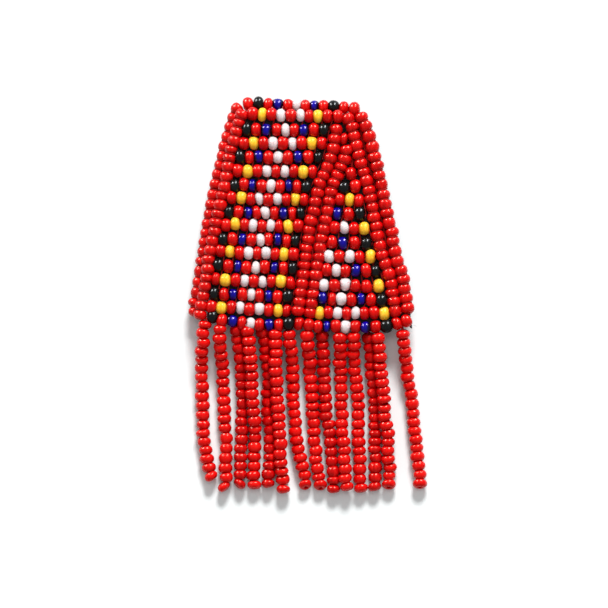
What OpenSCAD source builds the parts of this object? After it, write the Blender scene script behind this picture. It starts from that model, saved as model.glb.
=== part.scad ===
// Beaded brooch lying face up: a woven seed bead panel with two pattern fields, six edge strings,
// a fringe of fourteen strings, a felt backing and a bar pin under it.
// Millimetres. The top of the panel points to +Y, the bead side to +Z and the brooch rests on Z = 0.

/* [Seed beads] */
// Thickness of a woven row
row_d = 2.8; // [2.7:0.05:2.8]
// Thickness of an edge string, across its flats
string_d = 2.6; // [2.4:0.05:2.6]
// Thickness of a fringe string, across its flats
fringe_d = 2.7; // [2.5:0.05:2.8]

/* [Backing] */
// Thickness of the felt
felt_t = 1; // [0.8:0.1:1.2]
// How far the felt reaches past the middle of the right edge string
felt_reach = 0.55; // [0.3:0.05:0.6]

/* [Bar pin] */
// Length of the base plate
pin_l = 25; // [22:1:28]
// Width of the base plate
pin_w = 4.6; // [4:0.2:5]
// Thickness of the base plate
plate_t = 0.7; // [0.6:0.1:0.8]
// Height of the whole bar pin
pin_h = 3; // [2.8:0.1:3.4]
// Thickness of the needle
needle_d = 0.8; // [0.7:0.05:0.9]
// Middle of the base plate, across the panel
pin_x = -2.3; // [-3:0.1:0]
// Middle of the base plate, up the panel
pin_y = 26; // [20:1:30]

/* [Hidden] */
red = "#cf1410";
gap = 0.14; // between pieces that touch in the real brooch
felt_gap = 0.05; // between the felt and the plate sewn under it
felt_z = pin_h + felt_gap;
bead_z = felt_z + felt_t + gap + row_d / 2; // middle of the bead layer
edge_drop = 2.3; // how far the left edge string is tucked down
top_drop = 2; // how far the top row is rolled back
core_t = 1.6; // thread core that joins the rows of a band
core_inset = 0.3;
floor_z = fringe_d / 2;
shoulder = 0.5; // how far the rounded end of a row's last bead reaches along it
end_r = row_d / 2 - shoulder;
lean = 20; // the edge strings lean up to this many degrees
beside = string_d / 2 / cos(lean) + gap; // from the middle of an edge string to what lies beside it
sides = 8; // of the tube that a string of beads is
round_fn = 48; // facets of a full circle
needle_fn = 24;

// Columns of PANEL: height on the panel, then the middle of each edge string
UP = 0;
LEFT_OUTER = 1;
LEFT_INNER = 2;
MIDDLE_LEFT = 3;
MIDDLE_RIGHT = 4;
RIGHT_INNER = 5;
RIGHT_OUTER = 6;
PANEL = [
    [43.0, -15.55, -14.1, 8.0, 8.1, 8.2, 10.7],
    [37.8, -17.65, -15.75, 6.65, 8.1, 10.15, 13.5],
    [31.3, -19.15, -17.4, 5.1, 8.45, 11.65, 15.3],
    [25.0, -20.65, -18.5, 2.7, 5.8, 13.8, 16.9],
    [18.7, -22.1, -19.9, 1.25, 4.45, 14.75, 18.2],
    [11.5, -23.2, -21.5, -0.1, 3.05, 16.4, 19.6],
    [3.6, -24.45, -22.7, -1.0, 1.75, 18.8, 21.6],
    [-4.3, -25.6, -24.1, -2.2, 0.55, 20.05, 22.95],
];

// Columns of STRINGS: column of PANEL, top end, bottom end, how far it is tucked down
COLUMN = 0;
TOP = 1;
BOTTOM = 2;
DROP = 3;
STRINGS = [
    [LEFT_OUTER, 43.2, -4.1, edge_drop],
    [LEFT_INNER, 41.8, -4.2, 0],
    [MIDDLE_LEFT, 38.4, -4.3, 0],
    [MIDDLE_RIGHT, 33.4, -4.6, 0],
    [RIGHT_INNER, 40.2, -4.4, 0],
    [RIGHT_OUTER, 43.3, -3.8, 0],
];

// Columns of FIELD_ROWS and GORE_ROWS: height of a row at its left end and at its right end
FIELD_ROWS = [
    [43.4, 42.3],
    [40.95, 40.2],
    [37.4, 37.2],
    [34.4, 34.2],
    [31.3, 31.05],
    [28.1, 27.9],
    [25.0, 24.5],
    [22.05, 21.6],
    [18.9, 18.45],
    [16.0, 15.65],
    [12.9, 12.4],
    [10.1, 9.3],
    [7.0, 6.3],
    [4.05, 3.25],
    [0.9, 0.0],
    [-2.0, -2.9],
];
GORE_ROWS = [
    [27.5, 27.4],
    [24.6, 24.4],
    [21.7, 21.5],
    [18.5, 18.3],
    [15.4, 15.1],
    [12.1, 11.9],
    [9.0, 8.8],
    [6.0, 5.8],
    [2.8, 2.5],
    [-0.3, -0.6],
    [-3.4, -3.6],
];

// The last woven row carries the fringe. Columns: across, up
LAST_ROW = [[-22.4, -5.0], [-15.2, -6.0], [-7.6, -6.5], [0, -6.6], [7.6, -6.9], [15.2, -7.0], [23.0, -5.9]];

// Heights at which the fringe strings are measured, and how high their middle lies there above the floor
STATION_UP = [-8.8, -16.2, -24.3, -32.4, -38.2];
STATION_RISE = [4.1, 0.9, 0, 0, 0];

// Columns of FRINGE: across at the last row, across at each station, then the end's place across and up,
// and how far the string is propped on its neighbour where it first comes down
ENDS = 6;
ENDS_UP = 7;
PROP = 8;
FRINGE = [
    [-21.9, -23.5, -23.9, -23.6, -23.3, -22.2, -21.4, -41.6, 0],
    [-19.7, -19.6, -19.1, -18.7, -18.3, -18.3, -18.6, -44.0, 0],
    [-16.4, -16.0, -15.1, -14.6, -14.8, -15.2, -15.1, -43.3, 0],
    [-13.5, -13.4, -12.6, -12.1, -11.6, -12.0, -11.9, -43.6, 1.2],
    [-10.6, -10.4, -9.2, -9.2, -8.9, -8.7, -8.8, -43.2, 0],
    [-7.2, -7.2, -7.0, -6.6, -6.1, -5.9, -5.2, -44.6, 1.7],
    [-4.1, -3.9, -3.2, -3.2, -2.5, -1.2, -0.1, -43.5, 0],
    [-0.3, -0.1, 0.6, 1.2, 1.6, 2.2, 3.0, -43.5, 0.6],
    [3.0, 3.1, 3.7, 3.9, 5.0, 5.7, 6.0, -44.5, 0],
    [7.2, 7.3, 7.6, 7.8, 8.0, 8.5, 9.0, -43.9, 0.4],
    [10.2, 10.3, 10.8, 11.6, 11.5, 11.9, 12.1, -44.3, 0],
    [13.2, 13.3, 14.0, 14.9, 15.2, 15.4, 15.1, -44.0, 0],
    [15.8, 15.9, 16.6, 17.4, 18.3, 18.4, 18.6, -43.5, 0.9],
    [21.3, 21.5, 22.4, 23.7, 24.4, 25.2, 25.5, -43.4, 0],
];

function across(column, up) = lookup(up, [for (row = PANEL) [row[UP], row[column]]]);
function unit(v) = v / norm(v);

// Heights of PANEL between two others, at least 1 mm from each
function heights(top, bottom) = [for (row = PANEL) if (row[UP] < top - 1 && row[UP] > bottom + 1) row[UP]];

// Middle line of an edge string: its ends and the heights of PANEL between them
function string_route(string) =
    let (ups = concat([string[TOP]], heights(string[TOP], string[BOTTOM]), [string[BOTTOM]]))
    [for (up = ups) [across(string[COLUMN], up), up, bead_z - string[DROP]]];

// Middle line of a fringe string: inside the last row, along the stations, down to the floor and to its end
function fringe_route(f) = concat(
    [[f[0], lookup(f[0], LAST_ROW), bead_z]],
    [for (i = [0:len(STATION_UP) - 1])
        [f[i + 1], STATION_UP[i], floor_z + STATION_RISE[i] + f[PROP] * prop_left(i, f)]],
    [[f[ENDS], f[ENDS_UP], floor_z]]
);

// Share of the prop that is left at a station: whole at the second one, none at the string's end
function prop_left(i, f) = i == 0 ? 0 : (STATION_UP[i] - f[ENDS_UP]) / (STATION_UP[1] - f[ENDS_UP]);

// Direction of a route at one of its points
function heading(route, i) = unit(route[min(i + 1, len(route) - 1)] - route[max(i - 1, 0)]);

// One ring around a route, with flats below, above and at both sides
function ring(route, i, d) =
    let (ahead = heading(route, i), side = unit(cross(ahead, [0, 0, 1])), up = cross(side, ahead))
    let (step = 360 / sides, r = d / 2 / cos(step / 2))
    [for (k = [0:sides - 1]) route[i] + r * (cos((k + 0.5) * step) * side + sin((k + 0.5) * step) * up)];

// A string of beads as a tube with flat sides and closed ends
module tube(route, d) {
    last = len(route) - 1;
    polyhedron(
        points = [for (i = [0:last]) each ring(route, i, d)],
        faces = concat(
            [[for (k = [sides - 1:-1:0]) k]],
            [for (i = [0:last - 1], k = [0:sides - 1], n = (k + 1) % sides)
                [sides * i + k, sides * i + n, sides * (i + 1) + n, sides * (i + 1) + k]],
            [[for (k = [0:sides - 1]) sides * last + k]]
        )
    );
}

// Ends of a woven row between two edge strings, from its heights at the left and the right
function row_ends(row, left, right) = [
    [max(across(left, row[0] - end_r), across(left, row[0] + end_r)) + beside, row[0]],
    [min(across(right, row[1] - end_r), across(right, row[1] + end_r)) - beside, row[1]]
];

// A woven row as a round bar with sloping shoulders, between two points at one height
module row_bar(ends, z) {
    run = ends[1] - ends[0];
    long = norm(run);
    r = row_d / 2;
    translate([ends[0].x, ends[0].y, z])
        rotate([0, 90, atan2(run.y, run.x)])
            rotate_extrude($fn = round_fn)
                polygon([[0, 0], [end_r, 0], [r, shoulder], [r, long - shoulder], [end_r, long], [0, long]]);
}

// The thread core: a thin plate inside the rows, from the first one's middle to the last one's
module core(rows) {
    inset = [core_inset, 0];
    left = [for (ends = rows) ends[0] + inset];
    right = [for (i = [len(rows) - 1:-1:0]) rows[i][1] - inset];
    translate([0, 0, bead_z - core_t / 2]) linear_extrude(core_t) polygon(concat(left, right));
}

// The thread core between the two top rows: a plate that slopes down from the lower one to the top one
module top_core(ends) {
    run = ends[1] - ends[0];
    climb = [for (i = [0, 1]) FIELD_ROWS[0][i] - FIELD_ROWS[1][i]];
    slope = atan2(top_drop, (climb[0] + climb[1]) / 2);
    rise = climb / cos(slope);
    far = norm(run) - core_inset;
    translate([ends[0].x, ends[0].y, bead_z])
        rotate([0, 0, atan2(run.y, run.x)])
            rotate([-slope, 0, 0])
                translate([0, 0, -core_t / 2])
                    linear_extrude(core_t)
                        polygon([[core_inset, 0], [far, 0], [far, rise[1]], [core_inset, rise[0]]]);
}

module edge_string(i) {
    color(red) tube(string_route(STRINGS[i]), string_d);
}

module main_band() {
    // the two top rows run on over the strings beside them
    top_row = row_ends(FIELD_ROWS[0], LEFT_OUTER, RIGHT_OUTER);
    next_row = row_ends(FIELD_ROWS[1], LEFT_INNER, RIGHT_INNER);
    rows = [for (i = [1:len(FIELD_ROWS) - 1]) row_ends(FIELD_ROWS[i], LEFT_INNER, MIDDLE_LEFT)];
    color(red) {
        row_bar(top_row, bead_z - top_drop);
        top_core(next_row);
        row_bar(next_row, bead_z);
        core(rows);
        for (i = [1:len(rows) - 1]) row_bar(rows[i], bead_z);
    }
}

module gore_band() {
    rows = [for (row = GORE_ROWS) row_ends(row, MIDDLE_RIGHT, RIGHT_INNER)];
    color(red) {
        core(rows);
        for (ends = rows) row_bar(ends, bead_z);
    }
}

module fringe() {
    color(red) {
        tube([for (p = LAST_ROW) [p.x, p.y, bead_z]], row_d);
        for (f = FRINGE) tube(fringe_route(f), fringe_d);
    }
}

module backing() {
    past_row = 0.3; // how far the felt reaches past the middle of the second row
    top_left = FIELD_ROWS[1][0] + past_row;
    top_right = FIELD_ROWS[1][1] + past_row;
    ups = heights(top_right, LAST_ROW[0].y);
    corner = [23.75, -7.65]; // the corner that shows beside the last row
    corner_from = 22.2; // where the lower edge leaves the last row for it
    color("#1c1c1c")
        translate([0, 0, felt_z])
            linear_extrude(felt_t)
                polygon(concat(
                    [[across(LEFT_OUTER, top_left) + beside, top_left]],
                    [for (up = ups) [across(LEFT_OUTER, up) + beside, up]],
                    [for (i = [0:len(LAST_ROW) - 2]) LAST_ROW[i]],
                    [[corner_from, lookup(corner_from, LAST_ROW)], corner],
                    [for (i = [len(ups) - 1:-1:0]) [across(RIGHT_OUTER, ups[i]) + felt_reach, ups[i]]],
                    [[across(RIGHT_OUTER, top_right) + felt_reach, top_right]]
                ));
}

module bar_pin() {
    block = [3.4, 3.6]; // hinge block, along the pin and across it
    needle_z = 1;
    point_l = 1.6;
    tip_d = 0.1;
    catch_r = 1;
    catch_w = 2.2;
    catch_wall = 0.4;
    slot = 0.5; // the catch's open side
    past = 1; // how far a cut runs past what it opens
    reach = (pin_l - pin_w) / 2; // from the middle to where the plate's round ends begin
    under = pin_h - plate_t;
    sunk = plate_t / 2; // how far the block and the stem go up into the plate
    color("#b9bcc0")
        translate([pin_x, pin_y, 0]) {
            // base plate with round ends
            translate([0, 0, under])
                linear_extrude(plate_t) {
                    square([2 * reach, pin_w], center = true);
                    for (side = [-1, 1]) translate([side * reach, 0]) circle(d = pin_w, $fn = round_fn);
                }
            // hinge block
            translate([-reach - block.x / 2, -block.y / 2, 0]) cube([block.x, block.y, under + sunk]);
            // needle and its point
            translate([-reach, 0, needle_z]) rotate([0, 90, 0]) {
                cylinder(d = needle_d, h = 2 * reach, $fn = needle_fn);
                translate([0, 0, 2 * reach])
                    cylinder(d1 = needle_d, d2 = tip_d, h = point_l, $fn = needle_fn);
            }
            // catch: a hook round the needle, open at one side, on a short stem
            translate([reach - catch_w, 0, needle_z]) rotate([0, 90, 0]) difference() {
                cylinder(r = catch_r, h = catch_w, $fn = round_fn);
                translate([0, 0, -past]) {
                    cylinder(r = catch_r - catch_wall, h = catch_w + 2 * past, $fn = round_fn);
                    translate([-slot, 0, 0]) cube([slot, catch_r + past, catch_w + 2 * past]);
                }
            }
            translate([reach - catch_w, -catch_r, needle_z])
                cube([catch_w, catch_wall, under - needle_z + sunk]);
        }
}

bar_pin();
backing();
main_band();
gore_band();
edge_string(0);  // left_outer_string
edge_string(1);  // left_inner_string
edge_string(2);  // middle_left_string
edge_string(3);  // middle_right_string
edge_string(4);  // right_inner_string
edge_string(5);  // right_outer_string
fringe();
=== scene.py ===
import bpy
import numpy as np
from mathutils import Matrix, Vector


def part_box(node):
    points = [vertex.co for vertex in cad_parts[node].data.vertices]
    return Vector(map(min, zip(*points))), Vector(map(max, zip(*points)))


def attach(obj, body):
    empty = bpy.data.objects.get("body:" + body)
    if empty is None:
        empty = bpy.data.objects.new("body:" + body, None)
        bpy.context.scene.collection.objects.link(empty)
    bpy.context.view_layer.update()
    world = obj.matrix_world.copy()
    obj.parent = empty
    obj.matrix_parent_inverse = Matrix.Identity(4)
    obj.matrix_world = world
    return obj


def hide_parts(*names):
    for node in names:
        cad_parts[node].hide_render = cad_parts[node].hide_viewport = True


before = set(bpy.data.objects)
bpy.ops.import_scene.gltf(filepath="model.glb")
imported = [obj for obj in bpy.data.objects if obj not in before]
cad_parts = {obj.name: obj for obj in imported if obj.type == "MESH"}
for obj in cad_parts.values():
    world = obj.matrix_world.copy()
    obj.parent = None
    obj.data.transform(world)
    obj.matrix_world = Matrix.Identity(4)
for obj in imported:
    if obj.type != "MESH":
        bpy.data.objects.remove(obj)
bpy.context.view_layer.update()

MM = 0.001
rng = np.random.default_rng(21)

# Sizes of the beads and where their layers lie
ROW_R = 1.55
STRING_R = 1.52
FRINGE_R = 1.58
NODE_ROW_R = 1.4  # radius of a woven row in the frame's own solids
BEAD_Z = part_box("gore_band")[1].z / MM - NODE_ROW_R  # middle of the bead layer
FLOOR_Z = FRINGE_R
TOP_DROP = 2.0  # how far the top row is rolled back
BESIDE = 1.52  # from the middle of an edge string to the end of a row beside it
LEAN = 0.22  # how far the rows lie to the left of the middle between their strings
NESTLE = 0.3  # how far a row's end beads reach in between the beads of the strings beside it
UP_AXIS = np.array([0.0, 0.0, 1.0])

# Columns of PANEL: height on the panel, then the middle of each edge string
UP, LEFT_OUTER, LEFT_INNER, MIDDLE_LEFT, MIDDLE_RIGHT, RIGHT_INNER, RIGHT_OUTER = range(7)
PANEL = np.array([
    [43.0, -15.4, -14.1, 8.0, 8.1, 8.2, 10.8],
    [37.8, -17.5, -15.75, 6.65, 8.4, 10.2, 13.55],
    [31.3, -19.0, -17.4, 5.5, 8.95, 11.7, 15.15],
    [25.0, -20.5, -18.5, 2.7, 5.8, 13.6, 16.75],
    [18.7, -21.95, -19.9, 1.25, 4.45, 14.75, 18.05],
    [11.5, -23.05, -21.5, -0.1, 3.05, 16.4, 19.5],
    [3.6, -24.3, -22.7, -1.0, 1.75, 18.75, 21.55],
    [-4.3, -25.5, -24.1, -2.2, 0.55, 20.05, 22.9],
])

# Name of an edge string, its column of PANEL, top end, bottom end, how far it is tucked down, beads
STRINGS = [
    ("left_outer_string", LEFT_OUTER, 43.2, -4.6, 2.3, 22),
    ("left_inner_string", LEFT_INNER, 41.8, -5.2, 0.0, 23),
    ("middle_left_string", MIDDLE_LEFT, 38.4, -4.3, 0.0, 21),
    ("middle_right_string", MIDDLE_RIGHT, 33.8, -4.8, 0.0, 19),
    ("right_inner_string", RIGHT_INNER, 40.95, -4.6, 0.0, 22),
    ("right_outer_string", RIGHT_OUTER, 41.1, -3.8, 0.0, 21),
]

CROSS_WAY = (1, -0.1, 0)  # along the thread of a bead that lies across

# Beads that lie across at the top of a string: its name, across, up, drop, radius and half length
CROSSWISE = [
    ("middle_right_string", 8.25, 35.3, 0.0, 1.3, 0.85),
    ("right_outer_string", 10.6, 42.0, 1.1, 1.7, 1.3),
]

# Pieces whose thread also laces two neighbouring strings together, standing in for the dark red shade between
# them: the strings' columns, from top to bottom, and how far below the bead layer
SHADE_LACES = [
    ("left_inner_string", LEFT_OUTER, LEFT_INNER, 41.0, -4.0, 1.7),
    ("middle_right_string", MIDDLE_LEFT, MIDDLE_RIGHT, 35.5, -4.0, 0.9),
    ("right_inner_string", MIDDLE_RIGHT, RIGHT_INNER, 39.5, 28.6, 0.9),
    ("right_outer_string", RIGHT_INNER, RIGHT_OUTER, 41.9, -4.6, 0.9),
]

# Each woven row: height at its left end, height at its right end, colours of its beads.
# R red, W white, Y yellow, B blue, K black.
EVEN = "RYRWRWRYR"
ODD = "KRBRWRBRK"
FIELD_ROWS = [
    (43.4, 42.3, "R" + ODD + "R"),
    (40.95, 40.2, EVEN + "R"),
    (37.4, 37.2, ODD),
    (34.4, 34.2, EVEN),
    (31.3, 31.05, ODD),
    (28.1, 27.9, EVEN),
    (25.0, 24.5, ODD),
    (22.05, 21.6, EVEN),
    (18.9, 18.45, ODD),
    (16.0, 15.65, EVEN),
    (12.9, 12.4, ODD),
    (10.1, 9.3, EVEN),
    (6.9, 6.15, ODD),
    (3.85, 3.0, EVEN),
    (0.65, -0.3, ODD),
    (-2.35, -3.3, EVEN),
]
GORE_ROWS = [
    (27.5, 27.4, "R"),
    (24.6, 24.4, "KR"),
    (21.7, 21.5, "RYR"),
    (18.5, 18.3, "BRK"),
    (15.4, 15.1, "RWRY"),
    (12.1, 11.9, "RBRK"),
    (9.0, 8.8, "WRWRY"),
    (5.8, 5.6, "RWRBRK"),
    (2.5, 2.2, "WRWRRY"),
    (-0.6, -0.9, "BRWRBRK"),
    (-3.7, -3.9, "YRWRWRRY"),
]
LAST_ROW = np.array([
    [-22.4, -4.9], [-15.2, -5.9], [-7.6, -6.4], [0, -6.5], [7.6, -6.9],
    [15.2, -7.1], [17.4, -6.9], [19.8, -6.3], [22.2, -5.5], [23.3, -5.1],
])
LAST_COLOURS = "KRBRWRBRKRRRBRWRBRKRR"

# Heights at which the fringe strings are measured, and how high their middle lies there above the floor
STATION_UP = np.array([-8.8, -16.2, -24.3, -32.4, -38.2])
STATION_RISE = np.array([4.1, 0.9, 0, 0, 0])

# Columns of FRINGE: across at the last row, across at each station, the end's place across and up,
# the middle of the first bead, and how far the last bead is turned and tipped, in degrees
ENDS, ENDS_UP, FIRST, TURN, TIP = range(6, 11)
FRINGE = np.array([
    [-22.6, -23.5, -23.9, -23.6, -23.3, -22.2, -21.4, -41.6, -6.6, 20, 8],
    [-19.7, -19.6, -19.1, -18.7, -18.3, -18.3, -18.6, -44.0, -7.6, 38, 0],
    [-16.4, -15.5, -14.7, -14.5, -14.8, -15.2, -15.1, -43.3, -7.6, -42, 6],
    [-13.5, -13.3, -12.6, -12.1, -11.6, -12.0, -11.9, -43.6, -7.8, 0, 10],
    [-10.6, -9.8, -8.8, -8.9, -8.3, -8.6, -8.8, -43.2, -8.2, 12, 0],
    [-7.2, -7.1, -7.0, -6.5, -6.1, -5.9, -5.2, -44.6, -8.7, -8, 5],
    [-4.1, -3.9, -3.2, -3.2, -2.5, -1.1, -0.1, -43.5, -8.7, 3, 30],
    [-0.3, -0.1, 0.6, 1.2, 1.6, 2.2, 3.0, -43.5, -8.8, 0, 30],
    [3.0, 3.3, 3.8, 4.1, 5.2, 5.8, 6.0, -44.5, -9.0, -5, -8],
    [7.2, 7.3, 7.6, 7.7, 8.0, 8.5, 9.0, -43.9, -9.3, 5, 10],
    [10.2, 10.4, 10.8, 11.6, 11.5, 11.9, 12.1, -44.3, -9.2, 8, 12],
    [13.2, 13.9, 14.5, 15.3, 15.4, 15.5, 15.1, -44.0, -9.4, 18, 10],
    [15.8, 15.9, 16.6, 17.4, 18.3, 18.5, 18.6, -43.5, -9.4, 0, 32],
    [21.3, 21.5, 22.4, 23.7, 24.4, 25.2, 25.5, -43.4, -8.7, 0, 24],
])
FRINGE_BEADS = 18
END_HALF = 0.98  # half length of the last bead of a fringe string
BEHIND = [2, 4, 8, 11]  # fringe strings that lie lowest, each beside one that lies over it
TUCKED = 1.9  # how much lower those leave the panel
APART = 1.94  # how near two fringe strings come to each other, in radii

WIDE, LONG = 2, 3  # columns of COLOURS

# Colour letter: name of its beads in a piece's name, its slot, and how wide and long its beads are
COLOURS = {
    "R": ("red", "red_glass", 1.0, 1.0),
    "W": ("white", "white_glass", 0.96, 0.91),
    "Y": ("yellow", "yellow_glass", 1.0, 1.02),
    "B": ("blue", "blue_glass", 0.87, 1.02),
    "K": ("black", "black_glass", 1.04, 1.05),
}
PAINTED_LIGHT_TONES, FULL, PAINTED_SHADE_TONES = (0.6, 1.0), (0.15, 0.6), (0.0, 0.2)  # tones of beads: fringe, paler as painted light against its shade; panel; strings behind, deeper as painted shade


# Routes


def across(column, up):
    """Middle of an edge string at a height on the panel."""
    return np.interp(up, PANEL[::-1, UP], PANEL[::-1, column])


def arc_lengths(route):
    """How far along a route each of its points lies."""
    steps = np.linalg.norm(np.diff(route, axis=0), axis=1)
    return np.concatenate([[0.0], np.cumsum(steps)])


def smooth(points, soft=1.5, step=0.15):
    """A route through points, close-set, its corners rounded over soft millimetres."""
    points = np.asarray(points, float)
    s = arc_lengths(points)
    grid = np.linspace(0, s[-1], int(s[-1] / step) + 2)
    route = np.stack([np.interp(grid, s, points[:, i]) for i in range(3)], axis=1)
    pad = int(2 * soft / step)
    first, last = route[0] - route[1], route[-1] - route[-2]
    before = route[0] + first * np.arange(pad, 0, -1)[:, None]
    after = route[-1] + last * np.arange(1, pad + 1)[:, None]
    padded = np.concatenate([before, route, after])
    kernel = np.exp(-0.5 * (np.arange(-pad, pad + 1) * step / soft) ** 2)
    kernel /= kernel.sum()
    return np.stack([np.convolve(padded[:, i], kernel, mode="valid") for i in range(3)], axis=1)


def on_route(route, distance):
    """Points and directions at distances along a route."""
    s = arc_lengths(route)
    reach = 0.4
    spot = np.stack([np.interp(distance, s, route[:, i]) for i in range(3)], axis=-1)
    ahead = np.stack([np.interp(np.add(distance, reach), s, route[:, i]) for i in range(3)], axis=-1)
    behind = np.stack([np.interp(np.subtract(distance, reach), s, route[:, i]) for i in range(3)], axis=-1)
    way = ahead - behind
    return spot, way / np.linalg.norm(way, axis=-1, keepdims=True)


# Beads


SIZE_SPREAD, SIZE_LEAST, SIZE_MOST = 0.03, -0.06, 0.05  # how a bead's width varies, as a share
LENGTH_SPREAD = 0.07  # how its length varies, as a share, and no more than twice that
CENTRE, COLOUR = 0, 4  # places of these in a row of Beads


class Beads:
    """The beads of one piece: a list of centres, axes, radii, half lengths, colours and tones."""

    def __init__(self):
        self.rows = []

    def add(self, centre, axis, radius, half, colour, loose=0.04, tones=FULL):
        """Adds a bead that is tilted a little, with its own width and tone."""
        axis = np.asarray(axis, float)
        tilt = rng.normal(0, loose, 3)
        axis = axis + np.cross(tilt, axis)
        axis /= np.linalg.norm(axis)
        size = COLOURS[colour][WIDE] + np.clip(rng.normal(0, SIZE_SPREAD), SIZE_LEAST, SIZE_MOST)
        self.rows.append((np.asarray(centre, float), axis, radius * size, half, colour, rng.uniform(*tones)))


def string_beads(beads, route, colours, radius, wander, loose, fill, longest=9.0, tones=FULL):
    """Strings a bead of each colour on a route, end to end, with lengths that vary a little.

    wander is how far they stray from the route, loose how far they tilt, and fill their length as a share of
    the room that each has.
    """
    count = len(colours)
    total = arc_lengths(route)[-1]
    lengths = np.array([COLOURS[letter][LONG] for letter in colours])
    most = 2 * LENGTH_SPREAD
    lengths *= 1 + np.clip(rng.normal(0, LENGTH_SPREAD, count), -most, most)
    lengths *= total / lengths.sum()
    spots, ways = on_route(route, np.cumsum(lengths) - lengths / 2)
    for i in range(count):
        off = rng.normal(0, wander, 3)
        off -= ways[i] * (off @ ways[i])
        half = min(lengths[i], longest) * fill / 2
        beads.add(spots[i] + off, ways[i], radius, half, colours[i], loose, tones)


AROUND = 22  # points round a bead
PROFILE = 16  # points round the section of its wall
HOLE = 0.25  # hole's radius as a share of the bead's
NECK = 0.32  # radius of the middle of the wall's section, as the same share
FLAT = 1.01  # how much longer the section would be if the bead's ends weren't flat
OVAL_MOST = 1.03  # the widest a bead is, as a share of its radius
WEDGE_MOST = 0.13  # how much longer one side of a bead can be than it would be if its ends were parallel


def bead_mesh(rows):
    """Vertices, faces, tones and painted end shade of beads: rings with rounded walls, a little oval and
    wedged.
    """
    t = np.linspace(0, 2 * np.pi, PROFILE, endpoint=False)
    around = np.linspace(0, 2 * np.pi, AROUND, endpoint=False)

    height = np.sin(t)
    radial = NECK + np.where(height > 0, (1 - NECK) * height, (NECK - HOLE) * height)
    axial = np.clip(np.cos(t) * FLAT, -1, 1)
    i, j = np.meshgrid(np.arange(AROUND), np.arange(PROFILE), indexing="ij")
    n, m = (i + 1) % AROUND, (j + 1) % PROFILE
    corners = [i * PROFILE + j, n * PROFILE + j, n * PROFILE + m, i * PROFILE + m]
    ring = np.stack(corners, axis=-1).reshape(-1, 4)
    # Painted shade: 1 inside the hole, rising from 0 mid-wall towards the bead's ends where it meets its
    # neighbours
    rim = np.where(height > 0, np.abs(axial), 1.0)
    verts, faces, tones = [], [], []
    for k, (centre, axis, radius, half, _, tone) in enumerate(rows):
        side = np.cross(axis, UP_AXIS if abs(axis[2]) < 0.9 else np.array([1.0, 0, 0]))
        side /= np.linalg.norm(side)
        other = np.cross(axis, side)
        oval, wedge = rng.uniform(0, OVAL_MOST - 1), rng.uniform(0, WEDGE_MOST)
        oval_turn, wedge_turn = rng.uniform(0, 2 * np.pi, 2)
        out = radius * (1 + oval * np.cos(2 * around - oval_turn))
        long = half * (1 + wedge * np.cos(around - wedge_turn)) * (1 - wedge / 2)
        spoke = np.cos(around)[:, None] * side + np.sin(around)[:, None] * other
        points = (
            centre
            + out[:, None, None] * radial[None, :, None] * spoke[:, None, :]
            + long[:, None, None] * axial[None, :, None] * axis
        )
        verts.append(points.reshape(-1, 3))
        faces.append(ring + k * AROUND * PROFILE)
        tones.append(np.full(AROUND * PROFILE, tone))
    marks = {"tone": np.concatenate(tones), "rim": np.tile(rim, AROUND * len(rows))}
    return np.concatenate(verts), np.concatenate(faces), marks


# Threads


ANY_SIDE = [0.3, 0.2, 0.93]  # a direction that no thread starts along


def tube(route, radius, sides=6):
    """Vertices and faces of a thread along a route, with closed ends."""
    route = np.asarray(route, float)
    count = len(route)
    ways = np.gradient(route, axis=0)
    ways /= np.linalg.norm(ways, axis=1, keepdims=True)
    side = np.cross(ways[0], ANY_SIDE)
    rings = []
    turn = np.linspace(0, 2 * np.pi, sides, endpoint=False)
    for spot, way in zip(route, ways):
        side = side - way * (side @ way)
        side = side / np.linalg.norm(side)
        other = np.cross(way, side)
        rings.append(spot + radius * (np.cos(turn)[:, None] * side + np.sin(turn)[:, None] * other))
    i, j = np.meshgrid(np.arange(count - 1), np.arange(sides), indexing="ij")
    m = (j + 1) % sides
    corners = [i * sides + j, i * sides + m, (i + 1) * sides + m, (i + 1) * sides + j]
    faces = np.stack(corners, axis=-1).reshape(-1, 4).tolist()
    faces.append(list(range(sides - 1, -1, -1)))
    faces.append([(count - 1) * sides + j for j in range(sides)])
    return np.concatenate(rings), faces


def joined(shapes):
    """One list of vertices and one of faces from several."""
    verts, faces, base = [], [], 0
    for v, f in shapes:
        verts.append(v)
        faces += [[base + i for i in face] for face in f]
        base += len(v)
    return np.concatenate(verts), faces


# Materials


def material(name, roughness, metallic=0.0, specular=0.5):
    """A new node material and its shader node."""
    made = bpy.data.materials.new(name)
    made.use_nodes = True
    shader = made.node_tree.nodes["Principled BSDF"]
    shader.inputs["Roughness"].default_value = roughness
    shader.inputs["Metallic"].default_value = metallic
    shader.inputs["Specular IOR Level"].default_value = specular
    return made, shader


def translucent(shader, weight, reach):
    """Lets light wander under a surface, reach metres deep in each colour."""
    shader.inputs["Subsurface Weight"].default_value = weight
    shader.inputs["Subsurface Radius"].default_value = reach
    shader.inputs["Subsurface Scale"].default_value = 1.0


def node(tree, kind, **settings):
    """A new node, with its settings or the values of its sockets."""
    made = tree.nodes.new(kind)
    for key, value in settings.items():
        if hasattr(made, key):
            setattr(made, key, value)
        else:
            made.inputs[key].default_value = value
    return made


FIRST_COLOUR, SECOND_COLOUR, MIXED_COLOUR = 6, 7, 2  # a Mix node's colour sockets share names


def mix(tree, factor, first, second):
    """A colour between two, by a factor socket."""
    made = node(tree, "ShaderNodeMix", data_type="RGBA")
    tree.links.new(factor, made.inputs["Factor"])
    for socket, value in ((FIRST_COLOUR, first), (SECOND_COLOUR, second)):
        if isinstance(value, bpy.types.NodeSocket):
            tree.links.new(value, made.inputs[socket])
        else:
            made.inputs[socket].default_value = (*value, 1)
    return made.outputs[MIXED_COLOUR]


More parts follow.
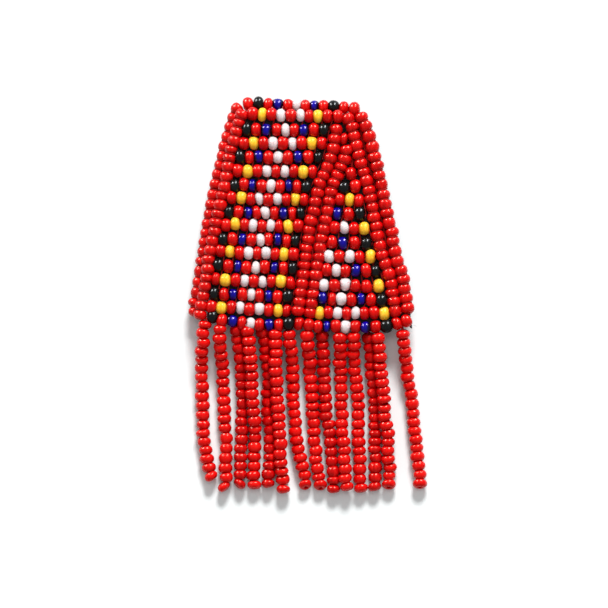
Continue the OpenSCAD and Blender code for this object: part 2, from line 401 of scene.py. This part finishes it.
def bump(tree, shader, height, strength, distance):
    """Fine relief on a surface, distance metres deep."""
    made = node(tree, "ShaderNodeBump", Strength=strength, Distance=distance)
    tree.links.new(height, made.inputs["Height"])
    tree.links.new(made.outputs["Normal"], shader.inputs["Normal"])


def place(tree, stretch=(1, 1, 1)):
    """Object coordinates, in metres, stretched."""
    coords = node(tree, "ShaderNodeTexCoord")
    mapping = node(tree, "ShaderNodeMapping")
    mapping.inputs["Scale"].default_value = stretch
    tree.links.new(coords.outputs["Object"], mapping.inputs["Vector"])
    return mapping.outputs["Vector"]


def noise(tree, vector, scale, detail=2.0, rough=0.5):
    """A socket with soft noise."""
    made = node(tree, "ShaderNodeTexNoise", Scale=scale, Detail=detail, Roughness=rough)
    tree.links.new(vector, made.inputs["Vector"])
    return made.outputs["Fac"]


def span(tree, value, low, high):
    """A socket whose value runs from 0 to 1 while another's runs from low to high."""
    made = node(tree, "ShaderNodeMapRange", interpolation_type="SMOOTHSTEP")
    made.inputs["From Min"].default_value = low
    made.inputs["From Max"].default_value = high
    tree.links.new(value, made.inputs["Value"])
    return made.outputs["Result"]


RED_DEEP = (0.0012, 0.0004, 0.0004)  # how far each colour of light wanders under a surface, in metres
END_SHADE_SPAN = 0.45  # how soft the change to the painted end shade is


def glass(
    name, deep, light, cloud, rim, gloss,
    specular=0.3, roughness=0.22, edge=0.55, reach=RED_DEEP, through=0.4,
):
    """Opaque glass: each bead has its own tone from deep to light, faint clouds, and painted shade towards
    its ends and in its hole.
    """
    made, shader = material(name, roughness, specular=specular)
    shader.inputs["Specular Tint"].default_value = (*gloss, 1)
    tree = made.node_tree
    tone = node(tree, "ShaderNodeAttribute", attribute_name="tone").outputs["Fac"]
    ends = node(tree, "ShaderNodeAttribute", attribute_name="rim").outputs["Fac"]
    base = mix(tree, tone, deep, light)
    veins = noise(tree, place(tree, (1, 0.25, 0.25)), 1700)
    cloudy = mix(tree, span(tree, veins, 0.45, 0.75), base, cloud)
    # Painted shade: the end shade colour is mixed in towards each bead's ends and in its hole
    end_shade_mask = span(tree, ends, edge, edge + END_SHADE_SPAN)
    tree.links.new(mix(tree, end_shade_mask, cloudy, rim), shader.inputs["Base Color"])
    bump(tree, shader, noise(tree, place(tree), 400, 1.0), 0.02, 0.0002)
    translucent(shader, through, reach)
    return made


def thread_material(name, dark, light):
    """Waxed thread: fine twisted strands."""
    made, shader = material(name, 0.8, specular=0.02)
    tree = made.node_tree
    spot = place(tree)
    strands = noise(tree, spot, 9000, 2.0)
    tree.links.new(mix(tree, strands, dark, light), shader.inputs["Base Color"])
    bump(tree, shader, strands, 0.6, 0.00008)
    return made


def felt_material(name):
    """Pressed wool felt: tangled fibres over soft lumps, with a dull sheen."""
    made, shader = material(name, 0.95, specular=0.02)
    shader.inputs["Sheen Weight"].default_value = 0.05
    shader.inputs["Sheen Roughness"].default_value = 0.6
    tree = made.node_tree
    spot = place(tree)
    fibres = node(tree, "ShaderNodeTexNoise", Scale=2600, Detail=4.0, Roughness=0.7, Distortion=3.0)
    tree.links.new(spot, fibres.inputs["Vector"])
    lumps = noise(tree, spot, 260, 3.0)
    shade = mix(tree, fibres.outputs["Fac"], (0.03, 0.027, 0.027), (0.09, 0.082, 0.082))
    tree.links.new(mix(tree, lumps, (0.03, 0.027, 0.027), shade), shader.inputs["Base Color"])
    bump(tree, shader, fibres.outputs["Fac"], 0.8, 0.00025)
    return made


def steel_material(name):
    """Nickel-plated steel, brushed along the pin, a little dulled."""
    made, shader = material(name, 0.28, metallic=1.0)
    tree = made.node_tree
    brushed = noise(tree, place(tree, (0.06, 1, 1)), 9000, 3.0)
    dull = noise(tree, place(tree), 350, 3.0)
    colour = mix(tree, dull, (0.5, 0.49, 0.47), (0.66, 0.66, 0.66))
    tree.links.new(colour, shader.inputs["Base Color"])
    rough = node(tree, "ShaderNodeMapRange")
    rough.inputs["To Min"].default_value = 0.18
    rough.inputs["To Max"].default_value = 0.42
    tree.links.new(brushed, rough.inputs["Value"])
    tree.links.new(rough.outputs["Result"], shader.inputs["Roughness"])
    bump(tree, shader, brushed, 0.15, 0.00003)
    return made


# Each glass's end shade colour is painted light: darker on red and yellow, near black on blue, and pinker on
# white, like red light from its neighbours
MATERIALS = {
    "red_glass": glass(
        "red_glass",
        deep=(0.4, 0.0, 0.001),
        light=(0.64, 0.002, 0.002),
        cloud=(0.66, 0.005, 0.004),
        rim=(0.5, 0.0, 0.0),
        gloss=(1, 0.54, 0.42),
        specular=0.27,
        roughness=0.25,
    ),
    "white_glass": glass(
        "white_glass",
        deep=(0.6, 0.53, 0.53),
        light=(0.67, 0.595, 0.595),
        cloud=(0.53, 0.45, 0.45),
        rim=(0.7, 0.54, 0.54),
        gloss=(1, 1, 1),
        reach=(0.0022, 0.0016, 0.0016),
        through=0.85,
    ),
    "yellow_glass": glass(
        "yellow_glass",
        deep=(0.76, 0.4, 0.02),
        light=(0.84, 0.48, 0.03),
        cloud=(0.88, 0.56, 0.05),
        rim=(0.62, 0.2, 0.01),
        gloss=(1, 0.9, 0.5),
        specular=0.15,
        roughness=0.3,
    ),
    "blue_glass": glass(
        "blue_glass",
        deep=(0.001, 0.0, 0.14),
        light=(0.003, 0.0, 0.22),
        cloud=(0.006, 0.0, 0.32),
        rim=(0.0, 0.0, 0.01),
        gloss=(0.75, 0.65, 1),
        edge=0.32,
        through=0.1,
    ),
    "black_glass": glass(
        "black_glass",
        deep=(0.003, 0.003, 0.003),
        light=(0.005, 0.005, 0.005),
        cloud=(0.006, 0.006, 0.006),
        rim=(0.003, 0.003, 0.003),
        gloss=(0.9, 0.97, 1),
        specular=0.17,
    ),
    "thread": thread_material("thread", (0.16, 0.006, 0.006), (0.4, 0.016, 0.014)),
    "black_felt": felt_material("black_felt"),
    "pin_steel": steel_material("pin_steel"),
}


# Pieces


def piece(name, verts, faces, slot, node_name, marks=None):
    """A mesh piece from points in millimetres, in place of a node of the frame."""
    if not isinstance(faces, list):
        faces = faces.tolist()
    mesh = bpy.data.meshes.new(name)
    mesh.from_pydata((np.asarray(verts) * MM).tolist(), [], faces)
    mesh.shade_smooth()
    for key, values in (marks or {}).items():
        mesh.attributes.new(key, "FLOAT", "POINT").data.foreach_set("value", values.astype(np.float32))
    mesh.materials.append(MATERIALS[slot])
    made = bpy.data.objects.new(name, mesh)
    bpy.context.scene.collection.objects.link(made)
    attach(made, "root")
    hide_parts(node_name)
    return made


def bead_pieces(node_name, beads):
    """One piece for each colour of beads."""
    for letter, (colour, slot, *_) in COLOURS.items():
        rows = [row for row in beads.rows if row[COLOUR] == letter]
        if rows:
            verts, faces, marks = bead_mesh(rows)
            piece(f"{node_name}_{colour}_beads", verts, faces, slot, node_name, marks)


END_R = 0.9  # above and below a row's end, as far as it keeps clear of the strings


def row_ends(left_up, right_up, left, right, reach):
    """Where a woven row begins and ends between two edge strings, or reaches past there on the right."""
    near = np.array([-END_R, END_R])
    return (
        np.array([across(left, left_up + near).max() + BESIDE - NESTLE - LEAN, left_up]),
        np.array([across(right, right_up + near).min() - BESIDE + NESTLE - LEAN + reach, right_up]),
    )


CORE_R = 0.3  # thread inside the beads
WARP_R = 0.12  # thread that runs up the panel between them
LONGEST = 2.35  # a row bead is no longer
THREAD_INSET = 0.3  # how far a thread's ends stay inside a row or string
SECOND_REACH = 0.6  # how far the second row reaches past its place at the right


def woven_rows(node_name, rows, sides, heights, reaches):
    """Beads, row threads and upright threads of a band. sides gives each row's two strings."""
    beads, threads, joints = Beads(), [], []
    for (left_up, right_up, colours), (left, right), z, reach in zip(rows, sides, heights, reaches):
        start, end = row_ends(left_up, right_up, left, right, reach)
        route = np.linspace([*start, z], [*end, z], 40)
        string_beads(beads, route, colours, ROW_R, wander=0.1, loose=0.09, fill=1.08, longest=LONGEST)
        inset = (end - start) / np.linalg.norm(end - start) * THREAD_INSET
        threads.append(tube(np.linspace([*(start + inset), z], [*(end - inset), z], 12), CORE_R))
        joints.append(np.linspace([*start, z], [*end, z], len(colours) + 1))
    for above, below in zip(joints, joints[1:]):
        for k in range(min(len(above), len(below))):
            threads.append(tube(np.linspace(above[k], below[k], 5), WARP_R, 5))
    bead_pieces(node_name, beads)
    piece(f"{node_name}_thread", *joined(threads), "thread", node_name)


def main_band():
    """The rows of the left field. Its two upper rows reach over to the strings at the right edge."""
    sides = [(LEFT_INNER, MIDDLE_LEFT)] * len(FIELD_ROWS)
    sides[0] = (LEFT_OUTER, RIGHT_OUTER)
    sides[1] = (LEFT_INNER, RIGHT_INNER)
    heights = [BEAD_Z] * len(FIELD_ROWS)
    heights[0] -= TOP_DROP
    reaches = [0.0] * len(FIELD_ROWS)
    reaches[1] = SECOND_REACH
    woven_rows("main_band", FIELD_ROWS, sides, heights, reaches)


def gore_band():
    """The rows of the wedge, which widens downwards."""
    count = len(GORE_ROWS)
    sides = [(MIDDLE_RIGHT, RIGHT_INNER)] * count
    woven_rows("gore_band", GORE_ROWS, sides, [BEAD_Z] * count, [0.0] * count)


STITCH_R = 0.13  # thread that ties the strings down
STITCH_OVER = 0.7  # radius of a stitch's arch, as a share of the string's
STITCH_DOWN = 1.3  # how far its feet reach below the string's middle


def stitch(spot, way, radius, down):
    """A stitch over a string, in the notch between two beads, and down to the felt on both sides."""
    side = np.cross(UP_AXIS, way)
    side /= np.linalg.norm(side)
    turn = np.linspace(0, np.pi, 9)
    arch = spot + radius * (np.cos(turn)[:, None] * side + np.sin(turn)[:, None] * UP_AXIS)
    feet = [spot + side * radius - UP_AXIS * down, spot - side * radius - UP_AXIS * down]
    return tube(np.concatenate([feet[:1], arch, feet[1:]]), STITCH_R, 5)


LACE_STEP = 0.9  # from one crossing of the lacing to the next
LACE_R = 0.26
LACE_REACH = 1.0  # how far it goes to each side
LACE_CORE = 1.5  # how thick the straight run is, as a share of the lacing


def shade_lacing(left, right, top, bottom, down):
    """Thread that zigzags between two strings, with a straight run along their middle, also standing in for
    their dark red shade.
    """
    ups = np.arange(top, bottom, -LACE_STEP)
    sides = np.where(np.arange(len(ups)) % 2, -LACE_REACH, LACE_REACH)
    middles = np.array([(across(left, up) + across(right, up)) / 2 for up in ups])
    lows = np.full(len(ups), BEAD_Z - down)
    zigzag = np.stack([middles + sides, ups, lows], axis=1)
    straight = np.stack([middles, ups, lows], axis=1)
    return [tube(zigzag, LACE_R, 5), tube(straight, LACE_R * LACE_CORE, 5)]


def edge_strings():
    """The six strings of red beads, with their stitches, cross beads and laced thread that also stands in for
    shade.
    """
    for name, column, top, bottom, drop, count in STRINGS:
        beads = Beads()
        ups = [top] + [row[UP] for row in PANEL if bottom + 1 < row[UP] < top - 1] + [bottom]
        route = smooth([[across(column, up), up, BEAD_Z - drop] for up in ups])
        string_beads(beads, route, "R" * count, STRING_R, wander=0.09, loose=0.12, fill=1.12)
        for owner, x, up, lower, radius, half in CROSSWISE:
            if owner == name:
                beads.add((x, up, BEAD_Z - lower), CROSS_WAY, radius, half, "R")
        bead_pieces(name, beads)
        along = np.linspace(THREAD_INSET, arc_lengths(route)[-1] - THREAD_INSET, 60)
        inner = on_route(route, along)[0]
        threads = [tube(inner, CORE_R)]
        middles = np.array([row[CENTRE] for row in beads.rows[:count]])
        for spot, way in zip((middles[1:] + middles[:-1]) / 2, middles[1:] - middles[:-1]):
            threads.append(stitch(spot, way, STRING_R * STITCH_OVER, STITCH_DOWN))
        # Laced thread in the gaps between strings, also standing in for the dark red shade there
        for owner, *run in SHADE_LACES:
            if owner == name:
                threads += shade_lacing(*run)
        piece(f"{name}_thread", *joined(threads), "thread", name)


def fringe_route(k):
    """Middle line of a fringe string, from the last row along the stations to its end on the floor."""
    f = FRINGE[k]
    points = [[f[0], np.interp(f[0], *LAST_ROW.T), BEAD_Z]]
    for i, up in enumerate(STATION_UP):
        points.append([f[i + 1], up, FLOOR_Z + STATION_RISE[i]])
    if k in BEHIND:
        points[1][2] -= TUCKED
    points.append([f[ENDS], f[ENDS_UP], FLOOR_Z])
    return smooth(points)


LIFT_POINTS = 41  # points of a route over which a lift is softened


def fringe_routes():
    """The routes of all fringe strings. A string beside a low one is lifted where it would cut into it."""
    routes = [fringe_route(k) for k in range(len(FRINGE))]
    apart = APART * FRINGE_R
    for low in BEHIND:
        under = routes[low]
        for k in (low - 1, low + 1):
            over = routes[k]
            near = np.argmin(np.abs(over[:, None, 1] - under[None, :, 1]), axis=1)
            aside = np.abs(over[:, 0] - under[near, 0])
            rise = under[near, 2] + np.sqrt(np.clip(apart**2 - aside**2, 0, None)) - over[:, 2]
            lift = np.where((aside < apart) & (over[:, 1] < STATION_UP[0]), np.clip(rise, 0, None), 0)
            window = np.hanning(LIFT_POINTS)
            over[:, 2] += np.convolve(lift, window / window.sum(), mode="same")
    return routes


def turned(axis, turn, tip):
    """A level direction turned on the floor, then tipped up from it, in degrees."""
    way = np.arctan2(axis[1], axis[0]) + np.radians(turn)
    rise = np.radians(tip)
    return np.array([np.cos(way) * np.cos(rise), np.sin(way) * np.cos(rise), np.sin(rise)])


def fringe():
    """The lowest row, and the strings that hang from it. The last bead of each is turned its own way."""
    beads, threads = Beads(), []
    last = smooth([[x, y, BEAD_Z] for x, y in LAST_ROW], soft=1.8)
    string_beads(beads, last, LAST_COLOURS, ROW_R, wander=0.14, loose=0.12, fill=1.08)
    threads.append(tube(last[::8], CORE_R))
    for k, (f, route) in enumerate(zip(FRINGE, fringe_routes())):
        s = arc_lengths(route)
        inside = np.linspace(0, s[-1] - 2 * THREAD_INSET, 60)
        threads.append(tube(on_route(route, inside)[0], CORE_R))
        first = np.interp(-f[FIRST], -route[:, 1], s)
        pitch = (s[-1] - first) / (FRINGE_BEADS - 0.5)
        hung = on_route(route, np.linspace(first - pitch / 2, s[-1], 200))[0]
        # Painted shade on the strings that lie behind, painted light on the rest of the fringe
        tones = PAINTED_SHADE_TONES if k in BEHIND else PAINTED_LIGHT_TONES
        reds = "R" * FRINGE_BEADS
        string_beads(beads, hung, reds, FRINGE_R, wander=0.1, loose=0.06, fill=1.13, tones=tones)
        centre, axis, radius, _, *rest = beads.rows.pop()
        beads.rows.append((centre, turned(axis, f[TURN], f[TIP]), radius, END_HALF, *rest))
    for centre, _, radius, *_ in beads.rows:
        centre[2] = max(centre[2], radius * OVAL_MOST)
    bead_pieces("fringe", beads)
    piece("fringe_thread", *joined(threads), "thread", "fringe")


FELT_SHARE = np.array([0.985, 0.993, 1.0])  # size of the felt as a share of the frame's sheet
FELT_SHIFT = np.array([0.4, -0.3, 0.0])  # how far the felt lies from the sheet's middle


def backing():
    """Felt with soft edges and loose fibres, from the frame's own sheet."""
    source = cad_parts["backing"]
    work = bpy.data.objects.new("felt_work", source.data.copy())
    bpy.context.scene.collection.objects.link(work)
    remesh = work.modifiers.new("remesh", "REMESH")
    remesh.mode = "VOXEL"
    remesh.voxel_size = 0.34 * MM
    soften = work.modifiers.new("soften", "SMOOTH")
    soften.factor = 0.5
    soften.iterations = 5
    lumps = bpy.data.textures.new("felt_lumps", "CLOUDS")
    lumps.noise_scale = 1.1 * MM
    lift = work.modifiers.new("lift", "DISPLACE")
    lift.texture = lumps
    lift.texture_coords = "LOCAL"
    lift.strength = 0.12 * MM
    evaluated = work.evaluated_get(bpy.context.evaluated_depsgraph_get())
    mesh = bpy.data.meshes.new_from_object(evaluated)
    bpy.data.objects.remove(work)
    verts = np.array([v.co for v in mesh.vertices]) / MM
    middle = (verts.max(axis=0) + verts.min(axis=0)) / 2
    verts = middle + (verts - middle) * FELT_SHARE + FELT_SHIFT
    normals = np.array([v.normal for v in mesh.vertices])
    faces = [list(p.vertices) for p in mesh.polygons]
    bpy.data.meshes.remove(mesh)
    piece("backing_felt", *joined([(verts, faces), fibres(verts, normals)]), "black_felt", "backing")


FIBRES = 5000
FIBRE_W = 0.035
SUNK = 0.04  # how far a fibre starts below the surface
RISE, FALL = 0.06, -0.03  # how a fibre lifts with each of its first steps, and comes down after


def fibres(verts, normals):
    """Short curled fibres that lie on a surface and lift a little from it."""
    picks = rng.integers(0, len(verts), FIBRES)
    points, faces = [], []
    for k, pick in enumerate(picks):
        normal = normals[pick]
        way = np.cross(normal, rng.normal(size=3))
        way /= np.linalg.norm(way)
        curl = rng.normal(0, 0.5)
        spot = verts[pick] - normal * SUNK
        step = rng.uniform(0.2, 0.5)
        for i in range(4):
            across_way = np.cross(normal, way)
            points += [spot - across_way * FIBRE_W / 2, spot + across_way * FIBRE_W / 2]
            way = way + across_way * curl
            way /= np.linalg.norm(way)
            spot = spot + way * step + normal * (RISE if i < 2 else FALL)
        base = 8 * k
        faces += [[base + 2 * i, base + 2 * i + 1, base + 2 * i + 3, base + 2 * i + 2] for i in range(3)]
    return np.array(points), faces


def pin():
    """Steel on the frame's own bar pin."""
    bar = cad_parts["bar_pin"]
    bar.data.materials.clear()
    bar.data.materials.append(MATERIALS["pin_steel"])


# Scene


def floor():
    """A plain pale floor, 6 metres wide."""
    mesh = bpy.data.meshes.new("floor")
    half = 3.0
    corners = [(-half, -half, 0), (half, -half, 0), (half, half, 0), (-half, half, 0)]
    mesh.from_pydata(corners, [], [(0, 1, 2, 3)])
    made, shader = material("pale_floor", 1.0, specular=0.0)
    shader.inputs["Base Color"].default_value = (0.75, 0.78, 0.78, 1)
    mesh.materials.append(made)
    ground = bpy.data.objects.new("floor", mesh)
    bpy.context.scene.collection.objects.link(ground)


def area_light(name, direction, distance, size, watts):
    """A soft box that looks at the brooch from a direction."""
    data = bpy.data.lights.new(name, "AREA")
    data.shape = "RECTANGLE"
    data.size, data.size_y = size
    data.energy = watts
    made = bpy.data.objects.new(name, data)
    way = Vector(direction).normalized()
    made.location = way * distance
    made.rotation_euler = way.to_track_quat("Z", "Y").to_euler()
    made.visible_camera = False
    bpy.context.scene.collection.objects.link(made)
    return made


def lights():
    """An even white surround, two soft keys that light surfaces, and two strips that only make highlights."""
    key_distance, strip_distance = 2.5, 1.0
    world = bpy.data.worlds.new("studio")
    world.use_nodes = True
    surround = world.node_tree.nodes["Background"]
    surround.inputs["Color"].default_value = (1, 1, 1, 1)
    surround.inputs["Strength"].default_value = 0.5
    bpy.context.scene.world = world
    for name, direction, size, watts in (
        ("key", (0.08, 0.81, 0.56), (0.7, 0.45), 94),
        ("high_key", (0.0, 0.3, 0.95), (0.9, 0.9), 8),
    ):
        area_light(name, direction, key_distance, size, watts).visible_glossy = False
    for name, direction, size, watts in (
        ("left_strip", (-0.66, 0.72, 0.24), (0.32, 0.42), 27),
        ("right_strip", (0.34, 0.84, 0.42), (0.26, 0.6), 31),
    ):
        area_light(name, direction, strip_distance, size, watts).visible_diffuse = False


def camera():
    """Straight above, with the photo's frame: so many millimetres wide at the height of the beads."""
    frame_w = 136.8
    distance = 1100.0
    across_middle, up_middle, bead_level = -0.7, -1.8, 4
    data = bpy.data.cameras.new("camera")
    data.sensor_width = 36
    data.lens = data.sensor_width * distance / frame_w
    data.clip_end = 10
    made = bpy.data.objects.new("camera", data)
    made.location = (across_middle * MM, up_middle * MM, (distance + bead_level) * MM)
    bpy.context.scene.collection.objects.link(made)
    bpy.context.scene.camera = made


main_band()
gore_band()
edge_strings()
fringe()
backing()
pin()
floor()
lights()
camera()
bpy.context.scene.view_settings.view_transform = "Standard"
